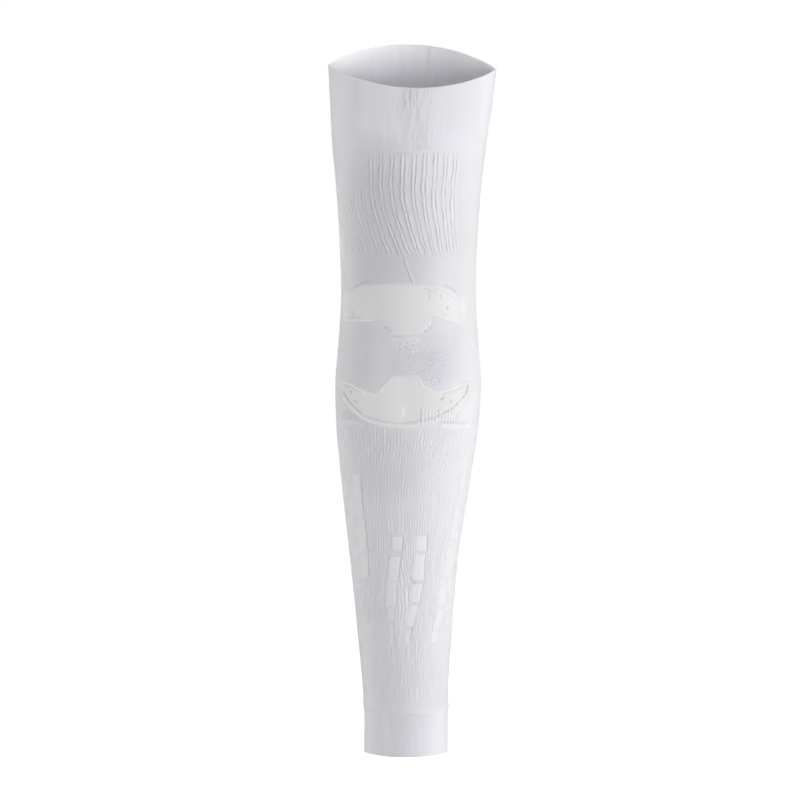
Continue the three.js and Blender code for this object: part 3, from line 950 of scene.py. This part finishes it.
def forearmRelief(rest, height):
    f = forearm
    turn = rest + forearmLean(rest, height)
    uneven = f["even"] + f["uneven"] * roundNoise(rest, height, f["ribs"], *f["ribNoise"])
    relief = f["ribDepth"] * ribWave(rest, f["ribs"]) * uneven * ribStrength(turn, -height)
    streaked = window(turn, *f["streakTurns"]) * window(height, *f["streakHeights"])
    patchy = ramp(roundNoise(rest, height, f["streaks"], *f["streakNoise"]), *f["streakFrom"])
    relief += f["streakDepth"] * streaked * patchy * ribWave(rest, f["streaks"])
    grooves, bed = stripBeds(turn, height)
    relief = (relief - grooves) * (1 - bed)
    seam = routesLift(turn, height, seamRidges["routes"])
    ridge = cuffRidge(turn, height)
    tone = relief / f["toneDepth"] * (1 + f["sideTone"] * ramp(-turn, *f["sideToneTurns"]))
    tone += seamRidges["tone"] * seam + cuffSeam["tone"] * ridge
    return relief + seam + ridge - f["stripBed"] * bed, tone


def makeForearm(stripPieces):
    f = forearm
    loop = singleWall(f, sleeve["cuffTop"], sleeve["elbowFoot"])
    count = f["ribs"] * f["columnsPerRib"]
    columns = np.arange(count) * 360 / count - 180
    mesh = tubeMesh("forearmKnit", columns, loop, forearmRelief, forearmLean)
    piece = addPiece("forearmKnit", mesh, "knit", "forearm_knit")


# Wrist cuff: a plain doubled welt with a soft ridge at its upper seam.
wristCuff = {
    "columnStep": 1.0,
    "rowStep": 0.7,
    "innerStep": 3.0,
    "wales": ((0.045, 180, 14, 51),),  # depth, cells round, their height and the seed
    "waleTone": 3.0,
    "lowerLine": ((7, -230.4), (16, -231.3), (26, -231), (58, -229.4)),  # a shallow crease below the ridge
    "lineDepth": 0.24,
    "lineHalf": 1.1,
    "flat": (0.135, 0.026),
}


def wristCuffRelief(turn, height):
    w = wristCuff
    wales = strayNoise(turn, height, w["wales"])
    crease = w["lineDepth"] * bell(lineGap(turn, height, smoothRoute(w["lowerLine"])), w["lineHalf"])
    ridge = cuffRidge(turn, height)
    return wales + ridge - crease, w["waleTone"] * wales + cuffSeam["tone"] * ridge - crease


def makeWristCuff():
    w = wristCuff
    foot = sleeve["hemHeight"] + sleeve["rimFold"] / 2
    head = sleeve["cuffTop"] - sleeve["seamGap"] / 2
    inner = spread(head, foot, w["innerStep"])
    loop = wallLoop(edgedRows(foot, head, w["rowStep"]), inner, foldedWall(inner, foot),
                    hem=foldRows(foot, -1)[::-1])
    columns = np.arange(-180, 180, w["columnStep"])
    mesh = tubeMesh("wristCuffWelt", columns, loop, wristCuffRelief, None, innerFace(loop, columns))
    piece = addPiece("wristCuffWelt", mesh, "welt", "wrist_cuff")


# Pads: each lies between an upper and a lower edge, given as (turn, height).
padForm = {
    "columnStep": 0.42,
    "rows": 68,
    "sunk": 0.12,
    "drawnEdge": 0.8,  # the drawn lines fade out this near the edge
    "deepest": 0.95,
    "tabWide": 22.0,
    "paleEnds": (0.4, 1.0),
    "toneDepth": 0.5,
    "under": 0.3,  # the underside lies within the knit, and deeper in the bed below the pad
    "underBed": 0.65,
    "bedEdge": (0.8, 2.2),
    "bedEnds": (0.25, 0.75),
}


def padSpan(pad):
    return max(pad["top"][0][0], pad["bottom"][0][0]), min(pad["top"][-1][0], pad["bottom"][-1][0])


def padEdges(pad, turn):
    return np.interp(turn, *np.array(pad["top"]).T), np.interp(turn, *np.array(pad["bottom"]).T)


def padEnds(pad, turn):  # fades to nothing at both ends
    low, high = padSpan(pad)
    return ramp(turn - low, 0, pad["endFade"]) * ramp(high - turn, 0, pad["endFade"])


def padInside(pad, turn, height):
    top, bottom = padEdges(pad, turn)
    return np.minimum(top - height, height - bottom)


def padMesh(name, pad, detail):
    form = padForm
    turns = spread(*padSpan(pad), form["columnStep"])
    top, bottom = padEdges(pad, turns)
    height = bottom + (top - bottom) * np.linspace(0, 1, form["rows"])[:, None]
    turn = np.broadcast_to(turns, height.shape)
    outline = list(zip(turns, top)) + list(zip(turns[::-1], bottom[::-1]))
    edge = lineGap(turn, height, outline[::2] + [outline[0]])
    ends = padEnds(pad, turn)
    drawn = routesLift(turn, height, pad["routes"])
    if detail:
        drawn += detail(turn, height, edge)
    drawn = ramp(edge, 0, form["drawnEdge"]) * np.maximum(drawn, -form["deepest"])
    face = -form["sunk"] + (pad["rise"] + form["sunk"]) * ramp(edge, 0, pad["softEdge"]) * ends + drawn
    under = -form["under"] - form["underBed"] * ramp(edge, *form["bedEdge"]) * ramp(ends, *form["bedEnds"])
    pale = pad["paleEdge"] + pad["tabSoft"] * bell(turn, form["tabWide"])
    mask = ramp(edge, 0, pale) * ramp(ends, *form["paleEnds"])
    return skinMesh(name, turn, height, face, under, mask, np.clip(drawn / form["toneDepth"], -1, 1))


upperPad = {
    "top": ((-78, 35), (-61.8, 36), (-56.3, 37.4), (-45, 41.4), (-34.6, 42.6), (-18.4, 43.8), (-4.6, 44.6),
            (3.7, 44), (14.1, 42.9), (25.9, 40.8), (35.7, 38.5), (44.1, 35.6), (52, 33), (62, 31)),
    "bottom": ((-78, 14.6), (-61.8, 16.4), (-44.9, 17.5), (-34.1, 18), (-23.6, 18.8), (-20.5, 18.9),
               (-19.5, 16.1), (-16.8, 16.2), (-16.3, 14), (-14.6, 14.1), (-14.2, 11.5), (-7.8, 10.8),
               (-0.3, 10.5), (9.6, 11.7), (12.6, 11.9), (13, 13.9), (15.6, 13.9), (16.5, 15.9),
               (19.1, 15.8), (20.1, 19.5), (27.4, 19.9), (35.2, 18.9), (42.1, 16.7), (52.1, 15.4),
               (62, 14.8)),
    "routes": (  # points, lift and half width of each ridge, or groove where the lift is below nothing
        (((9.9, 42.2), (20.5, 40.9), (28, 39.4), (35, 37.4), (43, 33.6)), 0.18, 0.6),
        (((20, 38.6), (28, 36.8), (36, 34), (45, 28.6)), 0.16, 0.6),
        (((13, 39.6), (18, 38.8), (24.2, 37.4)), -0.3, 0.5),
        (((22, 39.6), (30, 37.6), (43, 32)), -0.16, 0.5),
        (((-60, 17.8), (-46, 18.6), (-32, 19.4)), 0.26, 0.8),
        (((-60, 20), (-51, 20.4), (-44, 21)), -0.2, 0.5),
        (((26, 21.8), (29, 21.3), (40.3, 18.6), (47, 17)), 0.22, 0.8),
        (((17.3, 38), (17.3, 33.6)), -0.34, 0.45),
        (((28, 36.2), (28, 33.2)), -0.24, 0.45),
        (((-55, 24.6), (-54.6, 21.8)), -0.2, 0.6),
        (((19, 21.6), (28, 21.4)), -0.2, 0.5),
        (((34.2, 27), (34.8, 26.4)), -0.5, 0.6),
        (((31, 22.6), (32, 22.4)), -0.3, 0.5),
        (((-15, 12.6), (0, 11.8), (13, 13)), 0.12, 0.7),
    ),
    "rise": 0.2,
    "softEdge": 1.8,
    "paleEdge": 2.0,
    "tabSoft": 1.4,  # the tab's edge pales more slowly
    "endFade": 16.0,
}
lowerPad = {
    "top": ((-70, -20.4), (-68.4, -19.5), (-63.9, -18), (-52.9, -19.2), (-40.5, -22.2), (-33.2, -23.9),
            (-26, -24.8), (-22, -21.3), (-18.2, -17.5), (-14.4, -13.7), (-13.5, -13), (-2.6, -12.8),
            (8.2, -13.6), (11.1, -16.6), (13.2, -20.3), (16.8, -21.9), (20.6, -23.3), (29.3, -22.4),
            (40.3, -20.5), (51.1, -18.5), (57.9, -18.9), (63, -21.5), (66.1, -24.3)),
    "bottom": ((-70, -22.7), (-67.5, -26.9), (-65.3, -30.5), (-54.3, -37.3), (-40.6, -42.3), (-29.2, -45.4),
               (-14.1, -47.5), (-4.4, -47.7), (9.9, -46.3), (23.6, -44.4), (38.7, -41.7), (51.1, -36.9),
               (59.5, -30.6), (66.1, -26.2)),
    "routes": (  # as on the upper pad
        (((-61.4, -27), (-55.4, -30.9), (-49, -34.3), (-43.2, -37), (-39, -39.3), (-31.6, -41.4)),
         -0.24, 0.5),
        (((-31.6, -41.4), (-24.4, -42.1), (-18, -43.3), (-12.7, -43.6), (-4.6, -43.8), (1.9, -43.3),
          (13.2, -42), (20.6, -41)), -0.36, 0.5),
        (((20.6, -41), (29.7, -37.9), (36.5, -35.9), (41.5, -33.4), (48.8, -29.2), (52.5, -26)),
         -0.25, 0.6),
        (((52.5, -27), (53.6, -25), (54.5, -22.7)), -0.7, 0.7),
        (((-60, -22.4), (-52, -22.8), (-40, -25.6)), -0.26, 0.6),
        (((28, -26.2), (40, -24.4), (50, -22.4)), -0.22, 0.6),
        (((9.9, -36), (9.9, -42)), -0.26, 0.6),
        (((10.4, -26), (10, -34)), -0.05, 1.2),
        (((-4.6, -34.6), (-4.6, -38.6)), 0.3, 1.1),
        (((-22, -21.6), (-21.6, -22)), 0.3, 1.2),
        (((16.8, -22.4), (17.2, -22.8)), 0.3, 1.2),
    ),
    "holes": ((-61.4, -27), (-58.5, -28.9), (-55.4, -30.9), (-52.2, -32.7), (-49, -34.3), (-46, -35.7),
              (-43.2, -37), (-40.6, -38.4), (24.2, -39.6), (24.4, -36.7), (29.7, -37.8), (32.8, -37.1),
              (36.5, -36), (41.5, -33.4), (48.8, -29.2), (-50.8, -25.9), (-46.6, -31.3), (-43.8, -31.7),
              (26.6, -29.4), (28.4, -28.4), (35.5, -31.2)),
    "holeDepth": 0.6,
    "holeRadius": 0.65,
    "beadLift": 0.2,  # the raised rim, which the tab interrupts
    "beadHalf": 0.8,
    "beadInset": 1.6,
    "tabTurn": -2.0,
    "tabWide": 15.0,
    "tabHeights": (-26.0, -17.0),
    "ribTurns": (8.0, 42.0, 3.0, 4.0),  # from, to, rise and fall
    "ribHeights": (-46.5, -34.0, 1.5, 4.0),
    "ribPitch": 2.9,
    "ribLift": 0.4,
    "ribMean": 0.35,
    "even": 0.7,
    "uneven": 0.8,
    "ribNoise": (1.6, 61),  # height of a cell and the seed
    "rise": 0.24,
    "softEdge": 1.4,
    "paleEdge": 1.0,
    "tabSoft": 3.0,
    "endFade": 4.0,
}


def lowerPadDetail(turn, height, edge):
    p = lowerPad
    tab = bell(turn - p["tabTurn"], p["tabWide"]) * ramp(height, *p["tabHeights"])
    lift = p["beadLift"] * bell(edge - p["beadInset"], p["beadHalf"]) * (1 - tab)
    for hole in p["holes"]:
        lift -= p["holeDepth"] * bell(lineGap(turn, height, (hole, hole)), p["holeRadius"])
    tall, seed = p["ribNoise"]
    uneven = p["even"] + p["uneven"] * softNoise(turn / p["ribPitch"], height / tall, noiseSize, seed)
    waves = p["ribMean"] + (1 - p["ribMean"]) * np.cos(turn * 2 * math.pi / p["ribPitch"])
    ribbed = window(turn, *p["ribTurns"]) * window(height, *p["ribHeights"])
    return lift + p["ribLift"] * ribbed * uneven * waves


def makePads():
    for name, pad, detail, node in (("upperElbowPad", upperPad, None, "upper_elbow_pad"),
                                    ("lowerElbowPad", lowerPad, lowerPadDetail, "lower_elbow_pad")):
        mesh = padMesh(name, pad, detail)
        piece = addPiece(name, mesh, "pad", node)


makeTopBand()
makeUpperArm()
makeElbow()
makeForearm(makeStrips())
makeWristCuff()
makePads()


# Studio: a white floor far below, soft light from the right and a camera a little above the elbow.
studio = {
    "floorHeight": -0.9,
    "floorSize": 60.0,
    "floorGlow": 1.0,
    "lights": (  # name, degrees round from the front, degrees up, distance, size, watts
        ("frontLight", 0, 0, 3.0, 1.8, 44.5),
        ("fillLight", 32, -6, 3.0, 1.8, 19.0),
        ("keyLight", 74, 9, 3.0, 1.5, 26.5),
        ("topLight", 70, 56, 3.0, 1.2, 6.0),
        ("rightRimLight", 101, 1, 3.0, 1.5, 42.0),
        ("leftRimLight", -100, 8, 3.0, 1.5, 28.5),
        ("leftBackLight", -125, 0, 3.0, 1.5, 46.0),
        ("floorBounce", 0, -70, 0.9, 2.2, 4.9),
        ("backTopLight", 180, 60, 3.0, 1.8, 80.0),
    ),
    "cameraTarget": (-5.171, 0.0, -34.605),  # millimetres
    "cameraTilt": 8.0,
    "cameraDistance": 6.0,
    "lens": 433.35,
    "sensorWidth": 36.0,
    "clipEnd": 200.0,
}


def makeStudio():
    s = studio
    scene = bpy.context.scene
    bpy.ops.mesh.primitive_plane_add(size=s["floorSize"], location=(0, 0, s["floorHeight"]))
    floor = bpy.context.object
    floor.name = "studioFloor"
    material, start = newMaterial("floorPaper")
    shader = start.node("ShaderNodeBsdfPrincipled", None,
                        {"Base Color": (0.9, 0.9, 0.9, 1), "Roughness": 0.9,
                         "Emission Color": (1, 1, 1, 1), "Emission Strength": s["floorGlow"]})
    start.node("ShaderNodeOutputMaterial", None, {"Surface": shader})
    floor.data.materials.append(material)
    floor.visible_diffuse = False  # a backdrop: the lights alone light the sleeve
    floor.visible_glossy = False

    for name, turn, rise, distance, size, watts in s["lights"]:
        data = bpy.data.lights.new(name, "AREA")
        data.shape = "DISK"
        data.size = size
        data.energy = watts
        light = bpy.data.objects.new(name, data)
        across = distance * math.cos(math.radians(rise))
        light.location = (across * math.sin(math.radians(turn)), -across * math.cos(math.radians(turn)),
                          distance * math.sin(math.radians(rise)))
        light.rotation_euler = (-light.location).to_track_quat("-Z", "Y").to_euler()
        light.visible_camera = False
        scene.collection.objects.link(light)

    world = bpy.data.worlds.new("softWorld")
    world.use_nodes = True
    world.node_tree.nodes["Background"].inputs["Color"].default_value = (0, 0, 0, 1)
    scene.world = world

    tilt = math.radians(s["cameraTilt"])
    target = Vector(s["cameraTarget"]) * millimetre
    data = bpy.data.cameras.new("camera")
    data.sensor_width = s["sensorWidth"]
    data.lens = s["lens"]
    data.clip_end = s["clipEnd"]
    camera = bpy.data.objects.new("camera", data)
    camera.location = target + s["cameraDistance"] * Vector((0, -math.cos(tilt), math.sin(tilt)))
    camera.rotation_euler = (math.pi / 2 - tilt, 0, 0)
    scene.collection.objects.link(camera)
    scene.camera = camera
    scene.view_settings.view_transform = "Standard"


makeStudio()
print("studio ready")
